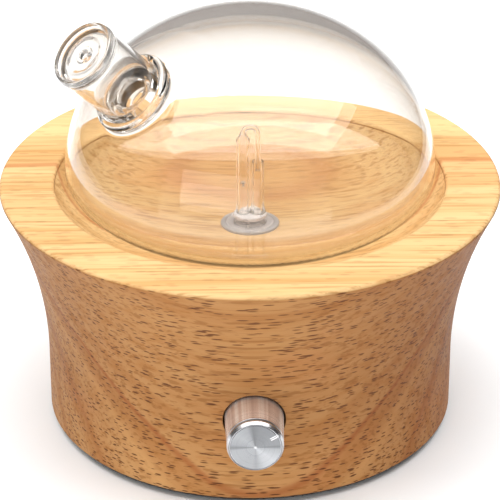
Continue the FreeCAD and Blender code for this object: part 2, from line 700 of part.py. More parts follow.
def pump_mount():
    """Rubber sleeve, saddle, strap and screws that hold the pump on the bottom plate."""
    sleeve_radius = "(motor_radius + 1.6)"
    sleeve = rod("SleeveOut", sleeve_radius, "18", on_pump("-24"), TO_RIGHT)
    sleeve_bore = rod("SleeveIn", "motor_radius", "20", on_pump("-25"), TO_RIGHT)
    keep(cut("PumpSleeve", sleeve, [sleeve_bore]), "pump_sleeve")

    split = "pump_high - 6"
    saddle = block("SaddleBlock", ("-22", "pump_back - 18.3", PLATE_TOP), ("-8", "pump_back + 18.3", split))
    saddle_tools = [rod("SaddleBore", sleeve_radius, "20", on_pump("-25"), TO_RIGHT)]
    for number, (x, y) in enumerate(STRAP_SCREWS):
        low = (x, y, f"{PLATE_TOP} - 1")
        saddle_tools.append(rod(f"SaddleHole{number}", "screw_radius - 0.1", "20", low))
    keep(cut("PumpSaddle", saddle, saddle_tools), "pump_saddle")

    hoop = cut(
        "Hoop",
        rod("HoopOut", f"{sleeve_radius} + 1", "10", on_pump("-20"), TO_RIGHT),
        [block("HoopCut", ("-21", "pump_back - 20", "pump_high - 20"), ("-9", "pump_back + 20", split))],
    )
    lugs = [
        block("LugFront", ("-20", "pump_back - 18.3", split), ("-10", "pump_back - 12.8", f"{split} + 1")),
        block("LugBack", ("-20", "pump_back + 12.8", split), ("-10", "pump_back + 18.3", f"{split} + 1")),
    ]
    strap_tools = [rod("HoopIn", sleeve_radius, "12", on_pump("-21"), TO_RIGHT)]
    for number, (x, y) in enumerate(STRAP_SCREWS):
        strap_tools.append(rod(f"LugHole{number}", "screw_radius - 0.1", "4", (x, y, f"{split} - 1")))
    keep(cut("PumpStrap", join("StrapBlank", [hoop, *lugs]), strap_tools), "pump_strap")

    grip = f"{split} + 1 - {PLATE_TOP} + 1.8"
    screws = [
        pan_screw(f"StrapScrew{number}", "screw_radius - 0.2", "1.9", "1.2", grip, (x, y, f"{split} + 1"))
        for number, (x, y) in enumerate(STRAP_SCREWS)
    ]
    keep(gather("StrapScrews", screws), "strap_screws")


# --- control board and leads ---------------------------------------------------------------------

BOARD_POSTS = [("21", "-24"), ("21", "-8"), ("-21", "-24"), ("-21", "-8")]
HEADER_LOW = ("13", "-18")


def control_board():
    """Circuit board with its components and screws."""
    board = block("BoardBlank", ("-25", "-28", "board_high"), ("25", "-4", BOARD_TOP))
    holes = [
        rod(f"BoardHole{number}", "small_screw + 0.2", "6", (x, y, "board_high - 2"))
        for number, (x, y) in enumerate(BOARD_POSTS)
    ]
    keep(cut("ControlBoard", board, holes), "control_board")

    screws = [
        pan_screw(f"BoardScrew{number}", "small_screw", "1.9", "1.1", "5.6", (x, y, BOARD_TOP))
        for number, (x, y) in enumerate(BOARD_POSTS)
    ]
    keep(gather("BoardScrews", screws), "board_screws")

    caps = [
        rod(f"Capacitor{number}", "3.15", "8", (x, "-22", BOARD_TOP)) for number, x in enumerate(("9", "-9"))
    ]
    keep(gather("Capacitors", caps), "board_capacitors")
    keep(block("TimerChip", ("-4", "-14", BOARD_TOP), ("4", "-9", f"{BOARD_TOP} + 1.6")), "timer_chip")
    headers = [
        block("HeaderRight", ("11", "-12", BOARD_TOP), ("18", "-6", f"{BOARD_TOP} + 6")),
        block("HeaderLeft", ("-18", "-12", BOARD_TOP), ("-11", "-6", f"{BOARD_TOP} + 6")),
    ]
    keep(gather("BoardHeaders", headers), "board_headers")


def leads():
    """Insulated leads from the motor and the power inlet to the board."""
    wire = "0.6"
    motor_back = "-1 - motor_long"
    motor_leads = [
        pipe(
            "MotorLeadA",
            [
                (motor_back, "pump_back - 5", "pump_high"),
                ("-33", "pump_back - 5", "pump_high"),
                ("-33", "-10.5", "13"),
                ("-18", "-10.5", "13"),
            ],
            2.0,
            wire,
        ),
        pipe(
            "MotorLeadB",
            [
                (motor_back, "pump_back + 5", "pump_high"),
                ("-36", "pump_back + 5", "pump_high"),
                ("-36", "-7.5", "10.6"),
                ("-24", "-7.5", "13"),
                ("-18", "-7.5", "13"),
            ],
            2.0,
            wire,
        ),
    ]
    keep(gather("MotorLeads", motor_leads), "motor_leads")
    jack_back = "cavity_radius - 8"
    inlet_leads = [
        pipe(
            "JackLeadA",
            [
                ("2.5", jack_back, JACK_Z),
                ("2.5", "32.4", JACK_Z),
                ("24.5", "32.4", JACK_Z),
                ("24.5", "-10.5", "12.5"),
                ("18", "-10.5", "12.5"),
            ],
            1.6,
            wire,
        ),
        pipe(
            "JackLeadB",
            [
                ("-2.5", jack_back, JACK_Z),
                ("-2.5", "30", JACK_Z),
                ("21.5", "30", JACK_Z),
                ("21.5", "-7.5", "12.5"),
                ("18", "-7.5", "12.5"),
            ],
            1.6,
            wire,
        ),
    ]
    keep(gather("InletLeads", inlet_leads), "inlet_leads")


def power_inlet():
    """Round power inlet in the back of the base, with its nut and centre pin."""
    face = "(waist_radius - 1.5)"
    nut_face = "(cavity_radius + 0.3)"
    barrel = turned(
        "JackBarrel",
        [
            (0, f"cavity_radius - 8 - {face}"),
            ("5", f"cavity_radius - 8 - {face}"),
            ("5", f"cavity_radius - 4 - {face}"),
            ("jack_radius", f"cavity_radius - 4 - {face}"),
            ("jack_radius", 0),
            ("7", 0),
            ("7", "1.2"),
            ("6.7", "1.5", "0.3"),
            (0, "1.5"),
        ],
        (0, face, JACK_Z),
        TO_BACK,
    )
    socket = rod("JackSocket", "2.8", "12", (0, f"{face} - 8.5", JACK_Z), TO_BACK)
    keep(cut("PowerInlet", barrel, [socket]), "power_inlet")
    pin_corners = [(0, 0), ("1.05", 0), ("1.05", "7"), ("0.65", "7.4", "0.5"), (0, "7.4")]
    keep(turned("InletPin", pin_corners, (0, f"{face} - 8.5", JACK_Z), TO_BACK), "inlet_pin")
    nut = solid(
        "Prism", "JackNutBlank", (0, f"{nut_face} - 2.5", JACK_Z), TO_BACK, Circumradius="8", Height="2.5"
    )
    nut.Polygon = 6
    nut_bore = rod("JackNutBore", "jack_radius + 0.02", "6", (0, f"{nut_face} - 4", JACK_Z), TO_BACK)
    keep(cut("InletNut", nut, [nut_bore]), "inlet_nut")


# --- dial ----------------------------------------------------------------------------------------

BRACKET_SCREWS = [("7.5", "-34.6"), ("-7.5", "-34.6")]


def dial_bracket():
    """Bent steel bracket that carries the potentiometer."""
    corners = [
        ("-bracket_front", PLATE_TOP),
        ("-bracket_front + 10.5", PLATE_TOP),
        ("-bracket_front + 10.5", f"{PLATE_TOP} + sheet_thick"),
        ("-bracket_front + sheet_thick + 1", f"{PLATE_TOP} + sheet_thick"),
        ("-bracket_front + sheet_thick", f"{PLATE_TOP} + sheet_thick + 1", "-1"),
        ("-bracket_front + sheet_thick", f"{DIAL_Z} + 10"),
        ("-bracket_front", f"{DIAL_Z} + 10"),
    ]
    half = "11"
    plate = padded("BracketPlate", corners, f"2 * {half}", "YZ_Plane", (f"-{half}", 0, 0))
    tools = [rod("BushHole", "3.55", "10", (0, "-bracket_front + 5", DIAL_Z), TO_FRONT)]
    for number, (x, y) in enumerate(BRACKET_SCREWS):
        tools.append(rod(f"BracketHole{number}", "screw_radius", "6", (x, y, f"{PLATE_TOP} - 2")))
    keep(cut("DialBracket", plate, tools), "dial_bracket")
    seat = f"{PLATE_TOP} + sheet_thick"
    long = "sheet_thick + 1.8"
    screws = [
        pan_screw(f"BracketScrew{number}", "screw_radius - 0.2", "2.2", "1.2", long, (x, y, seat))
        for number, (x, y) in enumerate(BRACKET_SCREWS)
    ]
    keep(gather("BracketScrews", screws), "bracket_screws")


def potentiometer():
    """Potentiometer: body with its threaded bush, shaft with wiper disc, washer and nut."""
    back = "(sheet_thick - bracket_front)"
    body = turned(
        "PotBlank",
        [
            (0, "-8"),
            ("8.2", "-8"),
            ("8.2", "0"),
            ("3.5", "0"),
            ("3.5", "6.2"),
            ("3.2", "6.5"),
            (0, "6.5"),
        ],
        (0, back, DIAL_Z),
        TO_FRONT,
    )
    tools = [
        rod("BushBore", "shaft_radius + run_gap", "10", (0, back, DIAL_Z), TO_FRONT),
        rod("WiperRoom", "6.5", "4.1", (0, f"{back} + 5", DIAL_Z), TO_FRONT),
        rod("NeckRoom", "shaft_radius + run_gap", "4", (0, f"{back} + 2", DIAL_Z), TO_FRONT),
    ]
    keep(cut("PotBody", body, tools), "pot_body")
    shaft_tip = "(knob_front - 5.3)"
    shaft_rear = (0, f"{back} + 4.6", DIAL_Z)
    shaft = join(
        "ShaftBlank",
        [
            rod("Shaft", "shaft_radius", f"{shaft_tip} + {back} + 4.6", shaft_rear, TO_FRONT),
            rod("Wiper", "6.2", "3", shaft_rear, TO_FRONT),
        ],
    )
    keep(shaft, "pot_shaft")
    washer = rod("WasherBlank", "6", "0.8", (0, "-bracket_front", DIAL_Z), TO_FRONT)
    washer_bore = rod("WasherBore", "3.52", "4", (0, "-bracket_front + 1", DIAL_Z), TO_FRONT)
    keep(cut("PotWasher", washer, [washer_bore]), "pot_washer")
    nut = solid(
        "Prism", "PotNutBlank", (0, "-bracket_front - 0.8", DIAL_Z), TO_FRONT, Circumradius="5.7", Height="2"
    )
    nut.Polygon = 6
    nut_bore = rod("PotNutBore", "3.52", "6", (0, "-bracket_front + 1", DIAL_Z), TO_FRONT)
    keep(cut("PotNut", nut, [nut_bore]), "pot_nut")


def knob():
    """Turned aluminium knob with a grooved edge and a pointer line, and its plastic insert."""
    rear = (0, "knob_long - knob_front", DIAL_Z)
    corners = [
        (0, "knob_long - 3"),
        ("insert_radius", "knob_long - 3"),
        ("insert_radius", 0),
        ("knob_radius", 0),
        ("knob_edge", "knob_long - 2.5"),
        ("knob_edge - 0.4", "knob_long - 2.3"),
        ("knob_edge - 0.4", "knob_long - 1.7"),
        ("knob_edge", "knob_long - 1.5"),
        ("knob_edge", "knob_long - 0.7"),
        ("knob_face", "knob_long"),
        (0, "knob_long"),
    ]
    shell = turned("KnobBlank", corners, rear, TO_FRONT)
    pointer_tilt = 31.0
    pointer = solid("Box", "Pointer", Length="knob_face * 0.32 + 1", Width="1", Height="0.7")
    inner = "(knob_face * 0.68)"
    up = math.sin(math.radians(pointer_tilt))
    out = math.cos(math.radians(pointer_tilt))
    place(
        pointer,
        (f"{inner} * {out:.9f} + 0.35 * {up:.9f}", "-knob_front - 0.65",
         f"{DIAL_Z} + {inner} * {up:.9f} - 0.35 * {out:.9f}"),
        Rotation(Vector(0, -1, 0), pointer_tilt),
    )
    keep(cut("KnobShell", shell, [pointer]), "knob_shell")
    insert_rear = (0, "knob_long - knob_front - 0.5", DIAL_Z)
    insert = rod("InsertBlank", "insert_radius - 0.01", "knob_long - 3.5", insert_rear, TO_FRONT)
    bore_rear = (0, "knob_long - knob_front + 0.5", DIAL_Z)
    bore = rod("InsertBore", "shaft_radius + 0.02", "knob_long - 4", bore_rear, TO_FRONT)
    keep(cut("KnobInsert", insert, [bore]), "knob_insert")


# --- build, check and write ----------------------------------------------------------------------


def check():
    """Stop if any object failed or any sub-part has no valid solid."""
    for thing in doc.Objects:
        if "Invalid" in thing.State or "Error" in thing.State:
            raise RuntimeError(f"{thing.Label} failed: {thing.State}")
    for thing in nodes:
        shape = thing.Shape
        if shape.isNull() or not shape.isValid() or not shape.Solids:
            raise RuntimeError(f"{thing.Label} has no valid solid")
        if min(piece.Volume for piece in shape.Solids) <= 0:
            raise RuntimeError(f"{thing.Label} has a solid with no volume")


def write():
    """Write each sub-part to its own STEP file."""
    os.makedirs("parts", exist_ok=True)
    for thing in nodes:
        box = thing.Shape.BoundBox
        print(f"{thing.Label}: {len(thing.Shape.Solids)} solid(s), {thing.Shape.Volume:.1f} mm3, "
              f"z {box.ZMin:.2f} to {box.ZMax:.2f}")
        thing.Shape.exportStep(f"parts/{thing.Label}.step")


for build in (
    wood_base,
    bottom_plate,
    plate_fittings,
    dome_and_bowl,
    nozzle,
    glass_stopper,
    stem_socket,
    air_hose,
    pump,
    pump_mount,
    control_board,
    leads,
    power_inlet,
    dial_bracket,
    potentiometer,
    knob,
):
    build()
doc.recompute()
check()
write()
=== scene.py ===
"""Essential oil diffuser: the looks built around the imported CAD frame.  Metres, +Z up, dial towards -Y."""
import json
import math
import bpy
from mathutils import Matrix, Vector


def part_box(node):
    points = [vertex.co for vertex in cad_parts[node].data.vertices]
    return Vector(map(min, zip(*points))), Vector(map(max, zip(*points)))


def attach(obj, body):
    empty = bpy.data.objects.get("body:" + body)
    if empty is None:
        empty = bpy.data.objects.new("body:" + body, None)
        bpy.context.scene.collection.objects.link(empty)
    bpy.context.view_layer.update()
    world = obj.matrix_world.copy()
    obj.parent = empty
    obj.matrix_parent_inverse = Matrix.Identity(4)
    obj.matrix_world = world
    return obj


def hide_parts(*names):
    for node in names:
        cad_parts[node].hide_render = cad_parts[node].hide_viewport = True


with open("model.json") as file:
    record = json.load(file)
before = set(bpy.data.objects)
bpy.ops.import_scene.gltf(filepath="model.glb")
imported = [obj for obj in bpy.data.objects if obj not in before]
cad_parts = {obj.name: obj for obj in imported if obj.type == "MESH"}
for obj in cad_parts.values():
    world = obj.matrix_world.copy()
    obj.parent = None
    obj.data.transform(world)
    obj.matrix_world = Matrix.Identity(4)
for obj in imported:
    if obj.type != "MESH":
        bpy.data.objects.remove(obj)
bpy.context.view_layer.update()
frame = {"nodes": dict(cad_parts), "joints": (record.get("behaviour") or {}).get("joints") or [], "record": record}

MM = 0.001
TAU = 2 * math.pi

# --- sizes, read from the frame where it has them ---------------------------------------------

WOOD_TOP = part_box("wood_base")[1].z

bowl_low, bowl_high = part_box("glass_bowl")
DOME_RADIUS = bowl_high.x
WIDEST = bowl_high.z
DOME_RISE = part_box("glass_dome")[1].z - WIDEST
BOWL_DROP = 17.9 * MM
SIDE_WALL = 1.6 * MM
CROWN_WALL = 4.6 * MM
BOWL_WALL = 2.2 * MM
STEM_LOW = bowl_low.z

knob_low, knob_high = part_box("knob_shell")
DIAL_Z = (knob_low.z + knob_high.z) / 2
KNOB_FRONT = knob_low.y
KNOB_REAR = knob_high.y
KNOB_RADIUS = knob_high.x
KNOB_FACE = 6.8 * MM
POINTER_TURN = 31
EDGE_GROOVE = 2.05 * MM  # behind the face

NOZZLE_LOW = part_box("air_nozzle")[0].z
NOZZLE_FOOT = 1.2 * MM
RISER_X = -1.85 * MM
RISER_TALL = 23.4 * MM
RISER_TAPER = 2 * MM
OIL_X = 2.05 * MM
JET_DROP = 11 * MM
grommet_low, grommet_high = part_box("stem_grommet")

pull = next(joint for joint in frame["joints"] if joint["name"] == "stopper_pull")
NECK = Vector(pull["axis"]).normalized()
NECK_ROOT = Vector((0, 0, WOOD_TOP - 3.0 * MM))
NECK_RADIUS = 10.5 * MM
NECK_BORE = 5.7 * MM
NECK_FLOOR = 51.0 * MM
NECK_MOUTH = 53.3 * MM
SOCKET_RADIUS = 9.15 * MM
STOPPER_RADIUS = 9.0 * MM
STOPPER_END = 73.0 * MM

# --- mesh helpers --------------------------------------------------------------------------------


TURNING_UNIT = 10 * MM  # distance along the outline for one unit of the UV map


def distances(rings):
    """Distance along the rings' first points, ending with the step back to the first ring."""
    lengths = [0.0]
    for first, second in zip(rings, rings[1:] + rings[:1]):
        lengths.append(lengths[-1] + (Vector(first[0]) - Vector(second[0])).length)
    return lengths


def ring_faces(rings, loop):
    """Faces between neighbouring rings, and each face corner's share round and distance along."""
    starts = [0]
    for ring in rings:
        starts.append(starts[-1] + len(ring))
    count = max(len(ring) for ring in rings)
    pairs = list(zip(range(len(rings) - 1), range(1, len(rings))))
    if loop:
        pairs.append((len(rings) - 1, 0))
    lengths = distances(rings)
    faces = []
    corners = []
    for number, (a, b) in enumerate(pairs):
        low, high = lengths[number], lengths[number + 1]
        for i in range(count):
            j = (i + 1) % count
            left, right = i / count, (i + 1) / count
            if len(rings[a]) == 1:
                faces.append((starts[a], starts[b] + i, starts[b] + j))
                corners.extend([((left + right) / 2, low), (left, high), (right, high)])
            elif len(rings[b]) == 1:
                faces.append((starts[a] + j, starts[a] + i, starts[b]))
                corners.extend([(right, low), (left, low), ((left + right) / 2, high)])
            else:
                faces.append((starts[a] + j, starts[a] + i, starts[b] + i, starts[b] + j))
                corners.extend([(right, low), (left, low), (left, high), (right, high)])
    return faces, corners


def mesh_from_rings(name, rings, loop=False, sharp=50):
    """Skin of quads over rings of points; a ring of one point closes an end, loop joins last to first.

    The UV map "turning" holds the share round the axis and the distance along the outline.
    """
    faces, corners = ring_faces(rings, loop)
    mesh = bpy.data.meshes.new(name)
    mesh.from_pydata([tuple(point) for ring in rings for point in ring], [], faces)
    layer = mesh.uv_layers.new(name="turning")
    for index, (around, along) in enumerate(corners):
        layer.data[index].uv = (around, along / TURNING_UNIT)
    mesh.validate()
    for face in mesh.polygons:
        face.use_smooth = True
    piece = bpy.data.objects.new(name, mesh)
    bpy.context.scene.collection.objects.link(piece)
    if enclosed_volume(mesh) < 0:
        mesh.flip_normals()
    mesh.set_sharp_from_angle(angle=math.radians(sharp))
    return piece


def enclosed_volume(mesh):
    """Signed volume inside a closed mesh: negative if its faces point inwards."""
    total = 0.0
    for face in mesh.polygons:
        corners = [mesh.vertices[i].co for i in face.vertices]
        for b, c in zip(corners[1:], corners[2:]):
            total += corners[0].dot(b.cross(c))
    return total / 6


def frame_of(direction):
    """Two unit vectors square to a direction."""
    side = Vector((0, 0, 1)).cross(direction)
    if side.length < 1e-6:
        side = Vector((1, 0, 0))
    side.normalize()
    return side, direction.cross(side)


def circle(middle, side, other, radius, segments):
    """Ring of points about a middle, in the plane of two unit vectors."""
    angles = [TAU * i / segments for i in range(segments)]
    return [middle + side * radius * math.cos(a) + other * radius * math.sin(a) for a in angles]


def in_metres(corners):
    """Corners given in millimetres, in metres."""
    return [tuple(number * MM for number in corner) for corner in corners]


def rounded(corners, steps=6):
    """Closed outline of (radius, height, fillet) corners; a fillet takes at most half of each side."""
    share = 0.49
    points = []
    count = len(corners)
    for number, (x, y, fillet) in enumerate(corners):
        here = Vector((x, y))
        if fillet <= 0:
            points.append((x, y))
            continue
        before = Vector(corners[number - 1][:2]) - here
        after = Vector(corners[(number + 1) % count][:2]) - here
        half = before.angle(after) / 2
        reach = min(fillet / math.tan(half), before.length * share, after.length * share)
        start = here + before.normalized() * reach
        end = here + after.normalized() * reach
        for step in range(steps + 1):
            t = step / steps
            point = start * (1 - t) ** 2 + here * 2 * t * (1 - t) + end * t**2
            points.append((point.x, point.y))
    return points


def lathe(name, outline, origin=(0, 0, 0), direction=(0, 0, 1), segments=128, loop=True, sharp=50):
    """Solid turned about an axis from an outline of (radius, height) points."""
    axis = Vector(direction).normalized()
    side, other = frame_of(axis)
    rings = []
    for radius, height in outline:
        middle = Vector(origin) + axis * height
        if radius < 1e-7:
            rings.append([middle])
            continue
        rings.append(circle(middle, side, other, radius, segments))
    return mesh_from_rings(name, rings, loop and len(rings[0]) > 1, sharp)


def sweep_rings(path, radii, segments):
    """Rings of points square to a path, each with its own radius."""
    rings = []
    side = None
    for number, point in enumerate(path):
        ahead = path[min(number + 1, len(path) - 1)]
        behind = path[max(number - 1, 0)]
        along = (ahead - behind).normalized()
        if side is None:
            side = frame_of(along)[0]
        side = (side - along * side.dot(along)).normalized()
        other = along.cross(side)
        rings.append(circle(point, side, other, radii[number], segments))
    return rings


def tube(name, path, outer, inner, segments=40):
    """Hollow tube with open, slightly rounded ends along a path."""
    outside = sweep_rings(path, outer, segments)
    inside = sweep_rings(path, inner, segments)
    return mesh_from_rings(name, outside + inside[::-1], loop=True, sharp=60)


def carve(piece, cutter):
    """Cut one mesh out of another and drop the cutter."""
    modifier = piece.modifiers.new("carve", "BOOLEAN")
    modifier.operation = "DIFFERENCE"
    modifier.solver = "EXACT"
    modifier.object = cutter
    bpy.context.view_layer.update()
    result = bpy.data.meshes.new_from_object(piece.evaluated_get(bpy.context.evaluated_depsgraph_get()))
    piece.modifiers.clear()
    piece.data = result
    bpy.data.objects.remove(cutter)


# --- materials -----------------------------------------------------------------------------------


class Nodes:
    """Short ways to add nodes to a tree."""

    def __init__(self, tree):
        self.tree = tree

    def put(self, socket, source):
        """Give a socket a fixed value or another node's output."""
        if isinstance(source, bpy.types.NodeSocket):
            self.tree.links.new(source, socket)
        else:
            socket.default_value = source

    def node(self, kind, inputs=None, **settings):
        """A node with its settings and inputs."""
        made = self.tree.nodes.new("ShaderNode" + kind)
        for key, choice in settings.items():
            setattr(made, key, choice)
        for key, source in (inputs or {}).items():
            self.put(made.inputs[key], source)
        return made

    def math(self, operation, first, second=0.0):
        """One calculation on two numbers."""
        return self.node("Math", {0: first, 1: second}, operation=operation).outputs[0]

    def length(self, first, second):
        """Length of a line with these two parts at right angles."""
        squares = (self.math("MULTIPLY", first, first), self.math("MULTIPLY", second, second))
        return self.math("SQRT", self.math("ADD", *squares))

    def axes(self, kind="Object"):
        """X, Y and Z of a coordinate or of the normal."""
        return self.node("SeparateXYZ", {0: self.node("TexCoord").outputs[kind]}).outputs

    def place(self, stretch=(1, 1, 1)):
        """Object coordinates, stretched."""
        where = self.node("TexCoord").outputs["Object"]
        return self.node("Mapping", {"Vector": where, "Scale": stretch}).outputs[0]

    def noise(self, scale, where, detail=2.0, rough=0.5):
        """Noise in space."""
        made = self.node("TexNoise", {"Vector": where, "Scale": scale, "Detail": detail, "Roughness": rough})
        return made.outputs["Fac"]

    def streaks(self, number, scale, detail):
        """Noise along one number."""
        made = self.node("TexNoise", {"W": number, "Scale": scale, "Detail": detail}, noise_dimensions="1D")
        return made.outputs["Fac"]

    def fade(self, source, low, high, bottom=0.0, top=1.0, kind="SMOOTHSTEP"):
        """Change of a number from one range to another, smooth unless said otherwise."""
        ends = {"From Min": low, "From Max": high, "To Min": bottom, "To Max": top}
        return self.node("MapRange", {"Value": source, **ends}, interpolation_type=kind).outputs["Result"]

    def ramp(self, source, stops):
        """Colour ramp through (position, colour) stops."""
        made = self.node("ValToRGB", {"Fac": source})
        elements = made.color_ramp.elements
        while len(elements) < len(stops):
            elements.new(0.5)
        for element, (position, colour) in zip(elements, stops):
            element.position = position
            element.color = (*colour, 1)
        return made.outputs["Color"]

    def mix(self, amount, first, second, blend="MIX"):
        """One colour over another."""
        made = self.node("Mix", data_type="RGBA", blend_type=blend)
        self.put(made.inputs["Factor"], amount)
        for socket, colour in ((made.inputs[6], first), (made.inputs[7], second)):
            self.put(socket, (*colour, 1) if isinstance(colour, tuple) else colour)
        return made.outputs[2]


class Surface(Nodes):
    """A node material built around one Principled shader."""

    def __init__(self, name, **settings):
        self.material = bpy.data.materials.new(name)
        self.material.use_nodes = True
        super().__init__(self.material.node_tree)
        self.shader = self.tree.nodes["Principled BSDF"]
        self.set(**settings)

    def set(self, **inputs):
        """Set or link the shader's inputs, with underscores for the spaces in their names."""
        for key, source in inputs.items():
            self.put(self.shader.inputs[key.replace("_", " ")], source)

    def bump(self, height, distance, strength=1.0):
        """Relief in which a height of 1 stands one distance out of the surface."""
        made = self.node("Bump", {"Height": height, "Distance": distance, "Strength": strength})
        self.put(self.shader.inputs["Normal"], made.outputs[0])


# The growth rings' centre line runs along X, low at the back.
PITH_Y = 47 * MM
PITH_Z = -34 * MM
# Growth rings that stand out: radius and half-width in mm, strength, colour.
LATE_WOOD = (
    (113.2, 0.9, 0.65, (0.46, 0.16, 0.05)),
    (107.4, 2.4, 0.6, (0.84, 0.58, 0.28)),
    (97.0, 1.1, 0.35, (0.46, 0.18, 0.06)),
)
# Layers of open pores: spacing and largest reach in mm.
PORES = ((1.0, 0.215), (0.88, 0.195), (1.15, 0.245))


def growth_ring(wood, y, z):
    """Distance from the pith, made to wander a little."""
    wander = wood.noise(16, wood.place((0.4, 1, 1)), 3)
    away = wood.length(wood.math("SUBTRACT", y, PITH_Y), wood.math("SUBTRACT", z, PITH_Z))
    return wood.math("ADD", away, wood.math("MULTIPLY", wander, 7 * MM))


def wood_figure(wood, ring, strands, lines):
    """Colour of the bare wood: soft bands and blushes, fine strands and the rings that stand out."""
    bands = wood.streaks(ring, 150.0, 4.0)
    blush = wood.noise(38, wood.place((0.5, 1, 1)), 2)
    stops = [(0.34, (0.62, 0.36, 0.145)), (0.5, (0.70, 0.45, 0.205)), (0.66, (0.73, 0.49, 0.235))]
    figure = wood.ramp(bands, stops)
    layers = (
        (wood.fade(blush, 0.5, 0.72, 0.0, 0.4), (0.72, 0.36, 0.15)),
        (wood.fade(strands, 0.48, 0.72, 0.0, 0.5), (0.58, 0.30, 0.10)),
        (wood.fade(lines, 0.5, 0.66, 0.0, 0.62), (0.42, 0.21, 0.065)),
    )
    for amount, colour in layers:
        figure = wood.mix(amount, figure, colour)
    for radius, width, strength, colour in LATE_WOOD:
        away = wood.math("ABSOLUTE", wood.math("SUBTRACT", ring, radius * MM))
        figure = wood.mix(wood.fade(away, width * MM, 0.0, 0.0, strength), figure, colour)
    return figure


def side_colour_with_painted_shade(wood, figure, x, z):
    """Colour of the side: deeper than the top, with painted shade towards both flanks and painted light that makes
    it paler low down.
    """
    side = wood.mix(1.0, figure, (0.67, 0.505, 0.375), "MULTIPLY")
    # Painted shade towards +X and towards -X, and painted light that brightens the foot.
    tones = (
        (wood.fade(x, 0.0, 58 * MM), (0.70, 0.58, 0.47)),
        (wood.fade(x, -20 * MM, -60 * MM), (0.80, 0.755, 0.72)),
        (wood.fade(z, 24 * MM, 2 * MM), (1.24, 1.32, 1.42)),
    )
    for amount, tone in tones:
        side = wood.mix(amount, side, wood.mix(1.0, side, tone, "MULTIPLY"))
    return side


def wood_pores(wood):
    """Open pores drawn out along the grain, in overlapping layers."""
    pores = None
    for spacing, size in PORES:
        shift = (spacing, spacing * 2, 0)
        where = wood.node("Mapping", {"Vector": wood.place((0.13, 0.4, 1)), "Location": shift}).outputs[0]
        cell = wood.node("TexVoronoi", {"Vector": where, "Scale": 1 / (spacing * MM)}).outputs
        chance = wood.node("SeparateColor", {0: cell["Color"]}).outputs[0]
        reach = wood.fade(chance, -0.5, 0.6, 0.0, size / spacing)
        mark = wood.fade(wood.math("SUBTRACT", reach, cell["Distance"]), -0.05, 0.06)
        pores = mark if pores is None else wood.math("MAXIMUM", pores, mark)
    return pores


def rubberwood():
    """Oiled rubberwood: grain along X, growth rings about a pith low at the back, brown open pores."""
    wood = Surface("rubberwood", IOR=1.45, Specular_IOR_Level=0.22)
    x, y, z = wood.axes()
    upward = wood.fade(wood.axes("Normal")[2], 0.1, 0.6)
    strands = wood.noise(330, wood.place((0.04, 1, 1)), 3, 0.6)
    lines = wood.noise(900, wood.place((0.03, 1, 1)), 2, 0.55)
    figure = wood_figure(wood, growth_ring(wood, y, z), strands, lines)
    figure = wood.mix(upward, side_colour_with_painted_shade(wood, figure, x, z), figure)
    pores = wood_pores(wood)
    stain = wood.math("MULTIPLY", pores, wood.fade(upward, 0.0, 1.0, 0.96, 0.16))
    figure = wood.mix(stain, figure, (0.13, 0.042, 0.012))
    wood.set(Base_Color=figure, Roughness=wood.fade(strands, 0.2, 0.8, 0.48, 0.64))
    pits = wood.math("MULTIPLY", pores, wood.fade(upward, 0.0, 1.0, 1.0, 0.3))
    wood.bump(wood.math("SUBTRACT", wood.math("MULTIPLY", lines, 0.25), pits), 0.08 * MM, 0.5)
    return wood.material


def clear_glass(name, ior, straight, density):
    """Clear blown glass, faintly warm; straight is how much light thin walls let by unbent.

    The density darkens long paths through the wall, as at the outline of a dome.
    """
    glass = Surface(name, Transmission_Weight=1.0, Roughness=0.0, IOR=ior)
    drift = glass.noise(30, glass.place())
    glass.set(Base_Color=glass.ramp(drift, [(0, (0.98, 0.96, 0.93)), (1, (0.99, 0.97, 0.945))]))
    glass.bump(glass.noise(45, glass.place(), 1.0), 0.12 * MM, 0.35)
    path = glass.node("LightPath").outputs
    passing = glass.math("MAXIMUM", path["Is Shadow Ray"], path["Is Diffuse Ray"])
    passing = glass.math("MAXIMUM", passing, straight)
    clear = glass.node("BsdfTransparent", {"Color": (0.96, 0.95, 0.93, 1)})
    both = glass.node("MixShader", {0: passing, 1: glass.shader.outputs[0], 2: clear.outputs[0]})
    haze = glass.node("VolumeAbsorption", {"Color": (0.34, 0.28, 0.22, 1), "Density": density})
    output = glass.tree.nodes["Material Output"]
    glass.put(output.inputs["Surface"], both.outputs[0])
    glass.put(output.inputs["Volume"], haze.outputs[0])
    return glass.material


def frosted_glass():
    """Ground glass, milky where it is fused to the bowl."""
    glass = Surface("frosted_glass", Transmission_Weight=0.5, IOR=1.4)
    cloud = glass.noise(260, glass.place(), 3)
    glass.set(Base_Color=glass.ramp(cloud, [(0.3, (0.82, 0.78, 0.80)), (0.7, (0.93, 0.90, 0.91))]))
    glass.set(Roughness=glass.fade(cloud, 0.3, 0.7, 0.2, 0.32))
    glass.bump(glass.noise(1800, glass.place(), 2), 0.02 * MM, 0.4)
    return glass.material


def mottled(name, dark, light, drift, grain=None, **settings):
    """A surface that drifts between two tones.

    The drift is the noise's scale and detail; the grain is its scale, depth in mm and strength.
    """
    surface = Surface(name, **settings)
    scale, detail = drift
    tone = surface.noise(scale, surface.place(), detail)
    surface.set(Base_Color=surface.ramp(tone, [(0.3, dark), (0.7, light)]))
    if grain:
        scale, depth, strength = grain
        surface.bump(surface.noise(scale, surface.place(), 2), depth * MM, strength)
    return surface.material


def moulded_plastic(name, dark, light, rough):
    """Moulded plastic with a fine spark-eroded grain."""
    return mottled(name, dark, light, (220, 3), (2600, 0.03, 0.5), Roughness=rough, IOR=1.5)


def soft_rubber(name, dark, light):
    """Matte rubber with a dusty, slightly uneven surface."""
    return mottled(name, dark, light, (300, 4), (1500, 0.04, 0.6), Roughness=0.8, Sheen_Weight=0.15)


